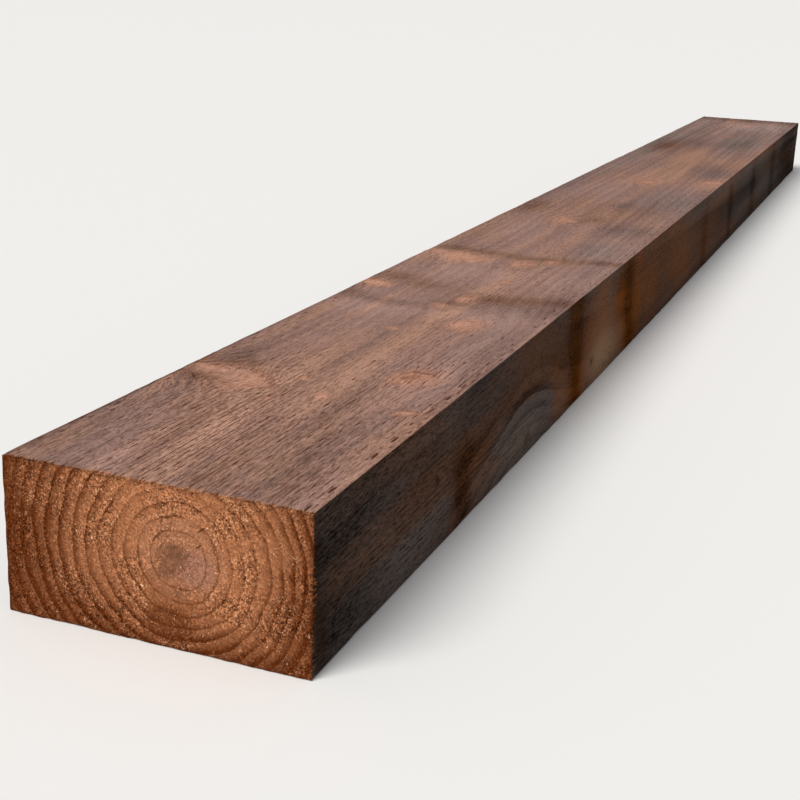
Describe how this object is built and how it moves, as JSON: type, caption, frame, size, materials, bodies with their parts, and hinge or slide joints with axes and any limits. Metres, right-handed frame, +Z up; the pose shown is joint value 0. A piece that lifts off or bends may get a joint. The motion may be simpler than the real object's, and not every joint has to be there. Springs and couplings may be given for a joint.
{
  "type": "railway sleeper",
  "caption": "Solid sawn softwood beam with a flat rectangular section and square-cut ends, laid as a railway or garden sleeper.",
  "frame": {"origin": "middle of the underside, midway between the two end cuts", "axes": "+X along the length, +Y across the width, +Z up through the thickness, from the face it lies on to the upper bed face"},
  "size_m": [2.4, 0.2, 0.1],
  "materials": {
    "treated_softwood": "rough sawn, pressure-treated brown, matt"
  },
  "bodies": {
    "root": {"sleeper": "treated_softwood"}
  },
  "joints": []
}
